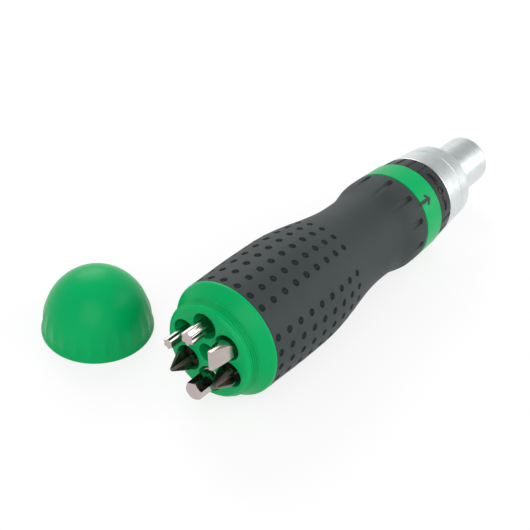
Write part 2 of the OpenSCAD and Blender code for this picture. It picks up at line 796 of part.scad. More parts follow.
module cross_bit() {
    color(DARK_STEEL) in_hole(5) {
        bit_shank();
        cross_tip(false);
    }
}

module star_cross_bit() {
    color(DARK_STEEL) in_hole(3) {
        bit_shank();
        cross_tip(true);
    }
}

hex_turn = 12;
hex_bevel = 2.5;
module hex_bit() {
    color(STEEL) in_hole(4) {
        bit_shank();
        bit_stem(hex_r(hex_tip_flats) + eps, stem_len);
        rotate([0, 0, hex_turn]) intersection() {
            translate([0, 0, tip_z]) cylinder(r = hex_r(hex_tip_flats), h = tip_len - stem_cone, $fn = 6);
            translate([0, 0, bit_hex_len]) rotate_extrude() polygon([[0, 0], [hex_tip_flats, 0],
                [hex_tip_flats, tip_len - hex_bevel], [hex_tip_flats / 2, tip_len], [0, tip_len]]);
        }
    }
}

handle_core();
grip();
ratchet_body();
rear_bushing();
thrust_washer();
forward_pawl_pin();
reverse_pawl_pin();
pawl_spring();
detent_spring();
nose_sleeve();
spindle();
retaining_ring();
socket_magnet();
bit_clip();
selector_ring();
forward_pawl();
reverse_pawl();
detent_ball();
end_cap();
star_bit_large();
star_bit_small();
slotted_bit();
cross_bit();
hex_bit();
star_cross_bit();
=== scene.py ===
"""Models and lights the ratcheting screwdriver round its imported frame."""

import json
from math import atan2, cos, degrees, hypot, pi, radians, sin

import bmesh
import bpy
from bpy.props import FloatProperty, FloatVectorProperty, IntProperty, PointerProperty
from mathutils import Matrix, Vector


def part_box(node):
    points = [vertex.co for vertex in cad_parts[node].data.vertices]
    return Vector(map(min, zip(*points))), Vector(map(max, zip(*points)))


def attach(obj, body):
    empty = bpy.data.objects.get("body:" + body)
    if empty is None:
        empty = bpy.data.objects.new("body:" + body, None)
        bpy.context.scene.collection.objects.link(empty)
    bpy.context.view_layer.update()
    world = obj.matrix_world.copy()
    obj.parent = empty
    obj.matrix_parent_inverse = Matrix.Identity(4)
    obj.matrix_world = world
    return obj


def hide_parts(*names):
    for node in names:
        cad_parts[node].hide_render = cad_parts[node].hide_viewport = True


bl_info = {
    "name": "Ratcheting screwdriver",
    "version": (1, 0, 0),
    "blender": (4, 5, 0),
    "location": "3D View > Sidebar > Screwdriver",
    "description": "Models a ratcheting screwdriver with bit storage round its packed frame",
    "category": "Add Mesh",
}

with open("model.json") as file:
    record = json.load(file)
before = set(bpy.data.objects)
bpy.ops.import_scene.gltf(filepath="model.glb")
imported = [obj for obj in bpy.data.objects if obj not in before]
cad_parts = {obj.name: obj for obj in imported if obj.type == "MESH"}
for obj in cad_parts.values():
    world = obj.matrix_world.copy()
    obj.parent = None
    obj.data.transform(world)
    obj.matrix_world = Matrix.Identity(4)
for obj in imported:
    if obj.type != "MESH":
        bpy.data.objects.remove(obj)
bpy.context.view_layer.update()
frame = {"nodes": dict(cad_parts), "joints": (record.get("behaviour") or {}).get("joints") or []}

MM = 0.001
TINY = 0.002 * MM
TURN = 2 * pi

# The handle is modelled upright, nose up, with height 0 at the grip's rear edge. HANDLE lays it down.
NOSE_END = 134.6 * MM
SPIN_JOINT = next(j for j in frame["joints"] if j["name"] == "spindle_turn")
AXIS = Vector(SPIN_JOINT["axis"]).normalized()
LEFT = Vector((0, 1, 0))
HANDLE = (Matrix.Translation(Vector(SPIN_JOINT["pos_m"]) - AXIS * NOSE_END)
          @ Matrix((LEFT.cross(AXIS), LEFT, AXIS)).transposed().to_4x4())
CAP_LOW, CAP_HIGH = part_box("end_cap")
CAP_AT = Matrix.Translation(((CAP_LOW.x + CAP_HIGH.x) / 2, (CAP_LOW.y + CAP_HIGH.y) / 2, 0))


def facing(angle):
    """Where a handle piece goes: laid down, with its own X turned to an angle counted from left to up."""
    return HANDLE @ Matrix.Rotation(radians(angle + 90), 4, "Z")


def linear(hex_colour):
    """Turns an sRGB hex value such as #00A550 to a linear colour."""
    parts = [int(hex_colour[i:i + 2], 16) / 255 for i in (1, 3, 5)]
    return tuple(p / 12.92 if p <= 0.04045 else ((p + 0.055) / 1.055) ** 2.4 for p in parts) + (1.0,)


def length(name, description, default):
    """A size in metres, given in millimetres."""
    return FloatProperty(name=name, description=description, default=default * MM, min=0.0, unit="LENGTH")


def power(name, description, default):
    """A lamp's power in watts."""
    return FloatProperty(name=name, description=description, default=default, min=0.0, unit="POWER")


def colour(name, description, hex_colour):
    """A colour that the panel shows as a swatch."""
    return FloatVectorProperty(name=name, description=description, default=linear(hex_colour), size=4,
                               min=0.0, max=1.0, subtype="COLOR")


class GripSizes(bpy.types.PropertyGroup):
    """Sizes and colour of the rubber grip."""
    rear_radius: length("Rear radius", "Outside of the rubber at its rear edge", 17.6)
    bulge_radius: length("Bulge radius", "Outside of the rubber over the bulge", 18.0)
    waist_radius: length("Waist radius", "Outside of the rubber at the waist", 13.9)
    front_radius: length("Front radius", "Outside of the rubber at its front edge", 15.6)
    swell_end: length("Swell end", "Height where the rear edge has swollen to the bulge", 18.0)
    bulge_end: length("Bulge end", "Height where the bulge starts to taper", 26.0)
    waist_start: length("Waist start", "Height where the taper reaches the waist", 62.0)
    waist_end: length("Waist end", "Height where the flare starts", 66.8)
    flare_end: length("Flare end", "Height where the flare is full", 77.0)
    length: length("Length", "Length of the rubber", 82.0)
    thickness: length("Thickness", "Thickness of the rubber", 2.4)
    dimple_start: length("First dimple", "Height of the first dimple in a row", 2.0)
    dimple_pitch: length("Dimple pitch", "Distance between the dimples of a row", 4.93)
    dimple_size: length("Dimple size", "Height of the cell that holds a dimple", 2.3)
    dimple_depth: length("Dimple depth", "Depth of a dimple", 1.3)
    dimple_count: IntProperty(name="Dimples", description="Dimples in a row", default=9, min=1)
    groove_start: length("Groove start", "Height where a finger groove fades in", 69.4)
    groove_end: length("Groove end", "Height where a finger groove ends", 80.0)
    groove_depth: length("Groove depth", "Depth of a finger groove at its front end", 1.3)
    rubber: colour("Rubber", "Colour of the rubber", "#343B3B")


class CoreSizes(bpy.types.PropertyGroup):
    """Sizes and colour of the moulded core."""
    flange_length: length("Flange length", "Length of the flange behind the grip", 3.7)
    flange_edge: length("Flange edge", "Rounding of the flange's edge at the grip", 1.6)
    neck_radius: length("Neck radius", "Radius of the neck under its thread", 14.1)
    neck_length: length("Neck length", "Length of the threaded neck", 4.5)
    thread_height: length("Thread height", "Height of the thread", 0.4)
    thread_pitch: length("Thread pitch", "Advance of the thread in one turn", 0.8)
    hole_radius: length("Hole radius", "Radius of a bit hole", 3.8)
    hole_pitch: length("Hole pitch", "Radius of the circle of bit holes", 8.5)
    hole_depth: length("Hole depth", "Depth of a bit hole", 18.0)
    middle_radius: length("Middle hole radius", "Radius of the empty middle hole", 2.8)
    middle_depth: length("Middle hole depth", "Depth of the empty middle hole", 12.0)
    collar_radius: length("Collar radius", "Radius of the front collar at the grip", 15.55)
    collar_drop: length("Collar taper", "Taper of the front collar, in radius", 0.3)
    collar_length: length("Collar length", "Length of the front collar", 9.2)
    plastic: colour("Plastic", "Colour of the core and the cap", "#00B062")


class CapSizes(bpy.types.PropertyGroup):
    """Sizes of the screw cap."""
    rim_radius: length("Rim radius", "Outside of the cap at its rim", 16.85)
    shoulder_radius: length("Shoulder radius", "Outside of the cap where its dome starts", 16.5)
    shoulder_height: length("Shoulder height", "Height where the dome starts", 1.6)
    height: length("Height", "Height of the cap", 20.2)
    wall: length("Wall", "Wall of the dome", 1.5)
    bore_radius: length("Bore radius", "Radius of the threaded bore", 14.75)
    bore_height: length("Bore height", "Height of the threaded bore", 5.1)
    flute_depth: length("Flute depth", "Depth of a flute of the skirt", 0.42)
    flute_top: length("Flute top", "Height where the flutes fade out", 10.6)
    flutes: IntProperty(name="Flutes", description="Flutes round the skirt", default=24, min=3)


class FrontSizes(bpy.types.PropertyGroup):
    """Sizes and colours of the selector ring and the metal nose."""
    ring_start: length("Ring start", "Height of the selector ring's rear face", 91.5)
    ring_length: length("Ring length", "Length of the selector ring", 6.7)
    ring_radius: length("Ring radius", "Radius of the selector ring at its rear face", 15.0)
    ring_drop: length("Ring taper", "Taper of the selector ring, in radius", 0.55)
    ring_bore: length("Ring bore", "Bore of the selector ring", 11.6)
    ring_flute: length("Ring flute depth", "Depth of a flute of the selector ring", 0.6)
    mark_height: length("Mark height", "Height of the raised marks", 0.25)
    sleeve_start: length("Sleeve start", "Height of the metal sleeve's rear face", 98.5)
    sleeve_length: length("Sleeve length", "Length of the metal sleeve", 15.1)
    sleeve_radius: length("Sleeve radius", "Radius of the metal sleeve at its rear face", 14.35)
    sleeve_drop: length("Sleeve taper", "Taper of the metal sleeve, in radius", 1.2)
    sleeve_line: length("Sleeve line", "Height of the turned line over the sleeve's rear face", 8.4)
    nose_start: length("Nose start", "Height of the spindle nose's rear face", 113.9)
    nose_radius: length("Nose radius", "Radius of the spindle's nose", 8.57)
    socket_flats: length("Socket flats", "Width across the flats of the bit socket", 6.45)
    socket_depth: length("Socket depth", "Depth of the bit socket", 13.0)
    abs: colour("Ring plastic", "Colour of the selector ring", "#282B2C")
    mark_black: colour("Marks", "Colour of the marks on the selector ring", "#101112")
    chrome: colour("Satin metal", "Colour of the sleeve and the nose", "#D3D9D9")


class BitSizes(bpy.types.PropertyGroup):
    """Sizes and colours of the six bits."""
    flats: length("Flats", "Width across the flats of the shank", 6.35)
    corner_radius: length("Corner radius", "Radius that the shank's corners are turned to", 3.5)
    length: length("Length", "Length of a bit", 25.0)
    shank: length("Shank length", "Length of the hexagon", 15.0)
    star_large: length("Large star", "Outside of the large star tip", 4.43)
    star_small: length("Small star", "Outside of the small star tip", 3.27)
    blade_width: length("Blade width", "Width of the slotted tip", 6.0)
    blade_end: length("Blade end", "Thickness of the slotted tip at its end", 1.0)
    hex_flats: length("Hexagon tip", "Width across the flats of the hexagon tip", 5.0)
    cross_radius: length("Cross radius", "Radius of a cross tip's stem", 2.9)
    nickel: colour("Nickel", "Colour of the plated bits", "#BBAFAC")
    phosphate: colour("Phosphate", "Colour of the dark bits", "#6A615D")


class StageSizes(bpy.types.PropertyGroup):
    """Floor, light and camera."""
    floor_size: length("Floor size", "Side of the floor", 4000.0)
    lens: FloatProperty(name="Lens", description="Focal length in millimetres", default=74.72, unit="CAMERA")
    roll: FloatProperty(name="Roll", description="Turn of the camera about its view", default=radians(3.45),
                        unit="ROTATION")
    camera_at: FloatVectorProperty(name="Camera", description="Place of the camera", subtype="TRANSLATION",
                                   default=(-0.2342, -0.1614, 0.2217), unit="LENGTH")
    target: FloatVectorProperty(name="Target", description="Point the camera looks at", subtype="TRANSLATION",
                                default=(-0.0041, 0.0039, 0.0), unit="LENGTH")
    key_power: power("Key light", "Power of the high light on the left", 6.5)
    side_power: power("Side light", "Power of the low light on the right", 4.2)
    front_power: power("Front light", "Power of the light by the camera", 4.4)
    room: FloatProperty(name="Room light", description="Strength of the light from all round", default=0.85)
    zenith: FloatProperty(name="Ceiling", description="Strength overhead, as a share of that at the horizon",
                          default=0.5)


# In degrees from left to up: the ring's marks, with the pointer beside them, and the first bit hole.
MARK_ANGLE = 138
HOLE_TURN = 20
HOLES = 6
# Columns of faces round a large turned piece.
COLUMNS = 144

# Modelling by hand: a first point or primitive, then edit-mode tools on what is picked by its place.


def start(name, add, **settings):
    """Adds a primitive with nothing else selected, names it and opens it for editing."""
    if bpy.context.mode != "OBJECT":
        bpy.ops.object.mode_set(mode="OBJECT")
    bpy.ops.object.select_all(action="DESELECT")
    add(**settings)
    piece = bpy.context.object
    piece.name = piece.data.name = name
    bpy.ops.object.mode_set(mode="EDIT")
    bpy.ops.mesh.select_mode(type="VERT")
    return piece


def draw(name, points):
    """Draws a line through points: one vertex, extruded on from point to point."""
    piece = start(name, bpy.ops.mesh.primitive_plane_add, size=MM)
    bpy.ops.mesh.merge(type="CENTER")
    bpy.ops.transform.translate(value=points[0])
    for here, there in zip(points, points[1:]):
        step = Vector(there) - Vector(here)
        bpy.ops.mesh.extrude_vertices_move(TRANSFORM_OT_translate={"value": step})
    return piece


def clean():
    """Merges doubles and turns the faces of the open piece outwards."""
    bpy.ops.mesh.select_all(action="SELECT")
    bpy.ops.mesh.remove_doubles(threshold=TINY)
    bpy.ops.mesh.normals_make_consistent(inside=False)


def turned(name, outline, columns, angle=TURN):
    """Spins an outline of (radius, height) corners round the upright axis."""
    piece = draw(name, [(r, 0, z) for r, z in outline])
    bpy.ops.mesh.select_all(action="SELECT")
    bpy.ops.mesh.spin(steps=columns, angle=angle, center=(0, 0, 0), axis=(0, 0, -1))
    clean()
    return piece


def plate(name, points, rise):
    """Fills a loop of points and extrudes it along rise."""
    piece = draw(name, points)
    bpy.ops.mesh.select_all(action="SELECT")
    bpy.ops.mesh.edge_face_add()
    bpy.ops.mesh.extrude_region_move(TRANSFORM_OT_translate={"value": rise})
    clean()
    bpy.ops.object.mode_set(mode="OBJECT")
    return piece


def close_ends():
    """Fills the open loops of the piece that is being edited."""
    bpy.ops.mesh.select_mode(type="EDGE")
    bpy.ops.mesh.select_all(action="DESELECT")
    bpy.ops.mesh.select_non_manifold()
    bpy.ops.mesh.fill_holes(sides=0)
    clean()


def pick(kind, test):
    """Selects what passes a test of its radius, angle in degrees and height; picking nothing is an error."""
    bpy.ops.mesh.select_mode(type=kind)
    bpy.ops.mesh.select_all(action="DESELECT")
    data = bpy.context.object.data
    mesh = bmesh.from_edit_mesh(data)
    found = 0
    for item in {"VERT": mesh.verts, "EDGE": mesh.edges, "FACE": mesh.faces}[kind]:
        if kind == "VERT":
            at = item.co
        elif kind == "EDGE":
            at = (item.verts[0].co + item.verts[1].co) / 2
        else:
            at = item.calc_center_median()
        if test(hypot(at.x, at.y), degrees(atan2(at.y, at.x)), at.z):
            item.select_set(True)
            found += 1
    if not found:
        raise RuntimeError(f"nothing was picked on {bpy.context.object.name}")
    mesh.select_flush_mode()
    bmesh.update_edit_mesh(data)


def off(angle, step):
    """How far an angle is from the nearest multiple of a step, in degrees."""
    return abs((angle + step / 2) % step - step / 2)


def draw_in(factor):
    """Scales what is picked towards the upright axis."""
    bpy.ops.transform.resize(value=(factor, factor, 1), center_override=(0, 0, 0))


def hexagon(across, height):
    """Corners of a level hexagon, given how far they are from the upright axis."""
    return [(across * cos(TURN * i / 6), across * sin(TURN * i / 6), height) for i in range(6)]


def to_corner(flats):
    """How far a hexagon's corners are from its axis, given the width across its flats."""
    return flats / 2 / cos(pi / 6)


def quarter(steps):
    """Angles that divide a quarter turn into equal steps."""
    return [radians(90 * i / steps) for i in range(steps + 1)]


def modify(piece, kind, **settings):
    """Adds a modifier and applies it."""
    bpy.ops.object.mode_set(mode="OBJECT")
    bpy.ops.object.select_all(action="DESELECT")
    piece.select_set(True)
    bpy.context.view_layer.objects.active = piece
    bpy.ops.object.modifier_add(type=kind)
    modifier = piece.modifiers[-1]
    for key, value in settings.items():
        setattr(modifier, key, value)
    bpy.ops.object.modifier_apply(modifier=modifier.name)


def combine(piece, tool, operation):
    """Cuts a piece by a tool, or keeps what they share, and removes the tool."""
    modify(piece, "BOOLEAN", object=tool, operation=operation, solver="EXACT")
    bpy.data.objects.remove(tool)


def soften(piece, width, segments=2, angle=40):
    """Takes the sharp edges off a piece, so that they catch the light."""
    modify(piece, "BEVEL", width=width, segments=segments, limit_method="ANGLE", angle_limit=radians(angle))


def join(main, *others):
    """Joins pieces into the first one."""
    if bpy.context.mode != "OBJECT":
        bpy.ops.object.mode_set(mode="OBJECT")
    bpy.ops.object.select_all(action="DESELECT")
    for piece in (main, *others):
        piece.select_set(True)
    bpy.context.view_layer.objects.active = main
    if others:
        bpy.ops.object.join()


def place(piece, at, smooth=35.0):
    """Puts a finished piece in its place, keeps that in its mesh, and smooths its soft edges."""
    join(piece)
    piece.matrix_world = at @ piece.matrix_world
    bpy.ops.object.transform_apply(location=True, rotation=True, scale=True)
    bpy.ops.object.shade_smooth_by_angle(angle=radians(smooth))
    modify(piece, "WEIGHTED_NORMAL", keep_sharp=True)


def dress(piece, material, body, slot, *nodes):
    """Gives a piece its material and the body it moves with, and hides the nodes it stands for; its slot is
    not used.
    """
    piece.data.materials.clear()
    piece.data.materials.append(material)
    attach(piece, body)
    if nodes:
        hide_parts(*nodes)


def node(tree, kind, values=None, links=None, **settings):
    """Adds a node with its settings, the values of its sockets and the links into them."""
    made = tree.nodes.new(kind)
    for key, value in settings.items():
        setattr(made, key, value)
    for key, value in (values or {}).items():
        made.inputs[key].default_value = value
    for key, source in (links or {}).items():
        tree.links.new(source, made.inputs[key])
    return made


def blank(name):
    """A material with no nodes yet."""
    material = bpy.data.materials.new(name)
    material.use_nodes = True
    material.node_tree.nodes.clear()
    return material


def surface(tree, base, cloud, tones, pattern, gloss, strength, depth, values):
    """Ends a material: one noise makes its colour uneven, another its gloss and its relief."""
    # A noise's values lie mostly between these.
    least, most = 0.3, 0.7
    shade, rough = (node(tree, "ShaderNodeMapRange",
                         {"From Min": least, "From Max": most, "To Min": low, "To Max": high},
                         {"Value": noise.outputs["Fac"]}).outputs["Result"]
                    for noise, (low, high) in ((cloud, tones), (pattern, gloss)))
    tint = node(tree, "ShaderNodeVectorMath", {0: base[:3]}, {1: shade}, operation="MULTIPLY")
    bump = node(tree, "ShaderNodeBump", {"Strength": strength, "Distance": depth},
                {"Height": pattern.outputs["Fac"]})
    shader = node(tree, "ShaderNodeBsdfPrincipled", values,
                  {"Base Color": tint.outputs["Vector"], "Roughness": rough,
                   "Normal": bump.outputs["Normal"]})
    node(tree, "ShaderNodeOutputMaterial", links={"Surface": shader.outputs["BSDF"]})


def moulded(name, base, rough, grain, depth, mottle, level):
    """A moulded plastic or rubber: spark-eroded grain, uneven gloss and faint flow marks in its colour."""
    tree = blank(name).node_tree
    flow_size, uneven, strength = 7 * MM, 0.06, 0.5
    at = node(tree, "ShaderNodeTexCoord").outputs["Object"]
    flow = node(tree, "ShaderNodeTexNoise", {"Scale": 1 / flow_size, "Detail": 3.0}, {"Vector": at})
    speck = node(tree, "ShaderNodeTexNoise", {"Scale": 1 / grain, "Detail": 2.0}, {"Vector": at})
    surface(tree, base, flow, (1 - mottle, 1 + mottle), speck, (rough - uneven, rough + uneven), strength,
            depth, {"IOR": 1.5, "Specular IOR Level": level})


def metal(name, base, rough, line, depth, stretch):
    """A metal: lines round the handle's axis, or an even grain if unstretched, in its gloss and relief."""
    tree = blank(name).node_tree
    cloud_size, tones, strength = 3 * MM, (0.94, 1.04), 0.4
    at = node(tree, "ShaderNodeTexCoord").outputs["Object"]
    along = node(tree, "ShaderNodeMapping",
                 {"Location": HANDLE.translation, "Rotation": HANDLE.to_euler(), "Scale": stretch},
                 {"Vector": at}, vector_type="TEXTURE")
    lines = node(tree, "ShaderNodeTexNoise", {"Scale": 1 / line, "Detail": 3.0, "Roughness": 0.6},
                 {"Vector": along.outputs["Vector"]})
    cloud = node(tree, "ShaderNodeTexNoise", {"Scale": 1 / cloud_size, "Detail": 2.0}, {"Vector": at})
    surface(tree, base, cloud, tones, lines, (rough - 0.05, rough + 0.07), strength, depth,
            {"Metallic": 1.0})


def palette():
    """Makes the materials once, from the colours in the panel."""
    scene = bpy.context.scene
    if "moulded_polypropylene" in bpy.data.materials:
        return bpy.data.materials
    rings, grain = (30, 30, 1), (1, 1, 1)
    # Injection-moulded polypropylene: saturated, waxy and even, with soft broad highlights.
    moulded("moulded_polypropylene", scene.driver_core.plastic, 0.32, 0.35 * MM, 0.01 * MM, 0.02, level=0.12)
    # Thermoplastic rubber moulded over the core: dull dark grey, its fine grit drawn twice as coarse to show.
    moulded("overmoulded_rubber", scene.driver_grip.rubber, 0.62, 0.3 * MM, 0.04 * MM, 0.05, level=0.3)
    # Injection-moulded ABS: near black, a little glossier than the rubber.
    moulded("moulded_abs", scene.driver_front.abs, 0.42, 0.3 * MM, 0.015 * MM, 0.05, level=0.25)
    # Deep black on the ring's raised marks, and smooth.
    moulded("printed_lacquer", scene.driver_front.mark_black, 0.3, 0.3 * MM, 0.005 * MM, 0.05, level=0.2)
    # Satin chrome over turned zinc: pale and soft, with fine rings from the lathe.
    metal("satin_chrome_plate", scene.driver_front.chrome, 0.3, 0.3 * MM, 0.0015 * MM, rings)
    # Nickel-plated tool steel, cold formed: bright, with hard dark and light bands.
    metal("nickel_plated_steel", scene.driver_bits.nickel, 0.16, 0.4 * MM, 0.004 * MM, grain)
    # Phosphated tool steel, milled: dark and slightly brown, with bright edges.
    metal("phosphated_steel", scene.driver_bits.phosphate, 0.26, 0.3 * MM, 0.006 * MM, grain)
    # Machined steel of the sealed pieces: grey, with lathe rings.
    metal("machined_steel", linear("#9B9DA0"), 0.36, 0.3 * MM, 0.006 * MM, rings)
    # Sintered bronze, porous and oiled: brown-yellow and dull.
    metal("sintered_bronze", linear("#B08D57"), 0.45, 0.25 * MM, 0.02 * MM, grain)
    return bpy.data.materials


def grip_radius(size, z):
    """Radius of the grip's outline at a height."""
    def blend(a, b, low, high):
        return a + (b - a) * (1 - cos(pi * (z - low) / (high - low))) / 2
    if z <= size.swell_end:
        return blend(size.rear_radius, size.bulge_radius, 0, size.swell_end)
    if z <= size.bulge_end:
        return size.bulge_radius
    if z <= size.waist_start:
        return blend(size.bulge_radius, size.waist_radius, size.bulge_end, size.waist_start)
    if z <= size.waist_end:
        return size.waist_radius
    if z <= size.flare_end:
        return blend(size.waist_radius, size.front_radius, size.waist_end, size.flare_end)
    return size.front_radius


def under_rubber(size):
    """Corners of the face where rubber and core meet, from the rear to the front."""
    taper = [size.bulge_end + (size.waist_start - size.bulge_end) * i / 4 for i in range(5)]
    flare = [size.waist_end + (size.flare_end - size.waist_end) * i / 3 for i in range(4)]
    heights = (0, size.swell_end, *taper, *flare, size.length)
    return [(grip_radius(size, z) - size.thickness, z) for z in heights]


class SCREWDRIVER_OT_rubber_grip(bpy.types.Operator):
    """Models the rubber grip with its dimples, finger grooves and pointer"""
    bl_idname = "screwdriver.rubber_grip"
    bl_label = "Rubber grip"

    columns = 48

    def body(self, size):
        """The grip's skin, spun with one column of faces for each row of dimples and one between."""
        dimples = [size.dimple_start + size.dimple_pitch * i for i in range(size.dimple_count)]
        rows = [z + side * size.dimple_size / 2 for z in dimples for side in (-1, 1)]
        plain = 9
        rows += [rows[-1] + (size.groove_start - rows[-1]) * i / plain for i in range(1, plain + 1)]
        cut = 6
        self.groove_rows = [size.groove_start + (size.groove_end - size.groove_start) * i / cut
                            for i in range(cut + 1)]
        rows += self.groove_rows[1:]
        rear, front = size.rear_radius, size.front_radius
        outline = [(rear - 0.5 * MM, 0), (rear - 0.06 * MM, 0.06 * MM), (rear, 0.4 * MM)]
        outline += [(grip_radius(size, z), z) for z in rows]
        outline += [(front, size.length - 0.9 * MM), (front - 0.12 * MM, size.length - 0.3 * MM),
                    (front - 0.6 * MM, size.length)]
        outline += reversed(under_rubber(size))
        piece = turned("rubber_grip", outline + outline[:1], self.columns)
        # Subdividing draws the corners in by this much, so they start further out.
        bpy.ops.mesh.select_all(action="SELECT")
        draw_in(3 / (2 + cos(TURN / self.columns)))
        return piece, dimples

    def execute(self, context):
        size = context.scene.driver_grip
        piece, dimples = self.body(size)
        step = 360 / self.columns
        outer = 0.8 * size.thickness

        def skin(r, z):
            return r > grip_radius(size, z) - outer

        def groove_off(a):
            return off(a - step / 2 - 2 * step, 4 * step)

        def dimple(r, a, z):
            row = off(a - step / 2, 2 * step) < 1 and off(a - step / 2, 360) > step
            return row and skin(r, z) and min(abs(z - d) for d in dimples) < 0.2 * MM

        pick("FACE", dimple)
        bpy.ops.mesh.region_to_loop()
        bpy.ops.transform.edge_crease(value=1.0)
        pick("FACE", dimple)
        for width in (0.12 * MM, 0.65 * MM):
            bpy.ops.mesh.inset(thickness=width, depth=-0.5 * size.dimple_depth, use_individual=True)

        lip, wall = 0.12 * MM, 0.2 * MM
        pick("FACE", lambda r, a, z: groove_off(a) < 1 and skin(r, z)
             and size.groove_start < z < size.groove_end)
        bpy.ops.mesh.inset(thickness=lip)
        bpy.ops.mesh.inset(thickness=wall)
        middle = (size.groove_start + size.groove_end) / 2
        # In degrees off a groove's middle: the lip's edges. Then what the hollow leaves at each side.
        lip_inner, lip_outer, wall_angle = 3.1, 3.45, 0.9

        def rim(r, a, z):
            side = lip_inner < groove_off(a) < lip_outer and z > middle
            end = groove_off(a) < 1 and abs(z - size.groove_end + lip) < 0.06 * MM
            return skin(r, z) and (side or end)

        pick("EDGE", rim)
        bpy.ops.transform.edge_crease(value=0.8)
        sunk = self.groove_rows[1:]
        for z in sunk:
            share = (z - size.groove_start) / (size.groove_end - size.groove_start)
            low = size.groove_start + (share - 1 / len(sunk)) * (size.groove_end - size.groove_start)
            pick("VERT", lambda r, a, h: groove_off(a) < step / 2 - wall_angle and skin(r, h)
                 and low + 0.3 * MM < h <= z + 0.05 * MM)
            draw_in(1 - share ** 2 * size.groove_depth / grip_radius(size, z))

        modify(piece, "SUBSURF", levels=2, render_levels=2)
        place(piece, facing(MARK_ANGLE - step / 2), 40)
        join(piece, self.pointer(context.scene.driver_core, size))
        dress(piece, palette()["overmoulded_rubber"], "handle", "black_rubber", "grip")
        return {"FINISHED"}

    def pointer(self, core, size):
        """The blunt arrow that runs from the grip onto the collar, curved like the collar."""
        foot, tip = size.length - 0.8 * MM, size.length + 5.6 * MM
        stem, wing, low = 0.6 * MM, 1.9 * MM, core.collar_radius - 0.9 * MM
        half = [(stem, foot), (stem, tip - 1.7 * MM), (wing - 0.5 * MM, tip - 2.7 * MM),
                (wing, tip - 2.0 * MM), (0, tip)]
        points = half + [(-y, z) for y, z in reversed(half[:-1])]
        piece = plate("pointer", [(low, y, z) for y, z in points], (2 * MM, 0, 0))
        top = core.collar_radius + 0.22 * MM
        ring = [(low + 0.1 * MM, foot - MM), (top, foot - MM), (top - core.collar_drop, tip + MM),
                (low + 0.1 * MM, tip + MM)]
        combine(piece, turned("pointer_ring", ring + ring[:1], 192), "INTERSECT")
        soften(piece, 0.1 * MM)
        place(piece, facing(MARK_ANGLE - 1.5))
        return piece


class SCREWDRIVER_OT_handle_core(bpy.types.Operator):
    """Models the green core: bit storage, threaded neck, flange and front collar"""
    bl_idname = "screwdriver.handle_core"
    bl_label = "Handle core"

    def execute(self, context):
        size, grip = context.scene.driver_core, context.scene.driver_grip
        foot = -size.flange_length
        face = foot - size.neck_length
        neck, chamfer, flange, round_off = size.neck_radius, 0.7 * MM, grip.rear_radius, size.flange_edge
        slope, steps = 55, 8
        arc = [radians(slope * (1 - i / steps)) for i in range(steps + 1)]
        front = grip.length + size.collar_length
        wide, top, edge = size.collar_radius, size.collar_radius - size.collar_drop, 0.3 * MM
        head, shank, well = 11.55 * MM, 9 * MM, 7 * MM
        head_floor, shank_floor, well_floor = front - 7 * MM, front - 23 * MM, front - 30 * MM
        outline = [(0, face), (neck - chamfer - edge, face), (neck - chamfer, face + 0.1 * MM),
                   (neck - 0.1 * MM, face + chamfer), (neck, face + chamfer + edge), (neck, foot - 0.15 * MM),
                   (neck + 0.12 * MM, foot + 0.02 * MM)]
        outline += [(flange - round_off * (1 - cos(t)), -round_off * sin(t)) for t in arc]
        outline += under_rubber(grip)
        outline += [(wide - edge, grip.length), (wide - 0.08 * MM, grip.length + 0.08 * MM),
                    (wide, grip.length + edge), (top + 0.01 * MM, front - edge),
                    (top - 0.08 * MM, front - 0.08 * MM), (top - edge, front), (head, front),
                    (head, head_floor), (shank, head_floor), (shank, shank_floor), (well, shank_floor),
                    (well, well_floor), (0, well_floor)]
        piece = turned("green_core", outline, COLUMNS)
        holes = [(size.hole_radius, size.hole_depth, size.hole_pitch * cos(a), size.hole_pitch * sin(a))
                 for a in (radians(HOLE_TURN + 90 + 360 * i / HOLES) for i in range(HOLES))]
        holes.append((size.middle_radius, size.middle_depth, 0, 0))
        cutters = []
        for r, deep, x, y in holes:
            cutters.append(start("hole", bpy.ops.mesh.primitive_cylinder_add, vertices=64, radius=r,
                                 depth=deep + MM, location=(x, y, face + (deep - MM) / 2)))
        join(*cutters)
        combine(piece, cutters[0], "DIFFERENCE")
        bpy.ops.object.mode_set(mode="EDIT")

        def rim(r, a, z):
            x, y = r * cos(radians(a)), r * sin(radians(a))
            return abs(z - face) < TINY and any(abs(hypot(x - hx, y - hy) - hr) < 0.02 * MM
                                                for hr, _, hx, hy in holes)

        pick("EDGE", rim)
        bpy.ops.mesh.bevel(offset=0.22 * MM, segments=3, affect="EDGES")
        bpy.ops.object.mode_set(mode="OBJECT")
        join(piece, self.thread(size, face + 0.65 * MM))
        place(piece, facing(-90), 32)
        dress(piece, palette()["moulded_polypropylene"], "handle", "green_plastic", "handle_core")
        return {"FINISHED"}

    def thread(self, size, low):
        """A crisp ridge that winds up the neck."""
        turns, pitch = 4, size.thread_pitch
        inside, crest = size.neck_radius - 0.2 * MM, size.neck_radius + size.thread_height
        tooth = [(inside, 0.05), (size.neck_radius, 0.14), (crest - 0.05 * MM, 0.36), (crest, 0.42),
                 (crest, 0.52), (crest - 0.05 * MM, 0.58), (size.neck_radius, 0.8), (inside, 0.88)]
        piece = draw("thread", [(r, 0, low + share * pitch) for r, share in tooth])
        bpy.ops.mesh.select_all(action="SELECT")
        bpy.ops.mesh.edge_face_add()
        bpy.ops.mesh.delete(type="ONLY_FACE")
        modify(piece, "SCREW", angle=TURN, screw_offset=pitch, iterations=turns, steps=COLUMNS,
               render_steps=COLUMNS, use_merge_vertices=False)
        bpy.ops.object.mode_set(mode="EDIT")
        close_ends()
        bpy.ops.object.mode_set(mode="OBJECT")
        return piece


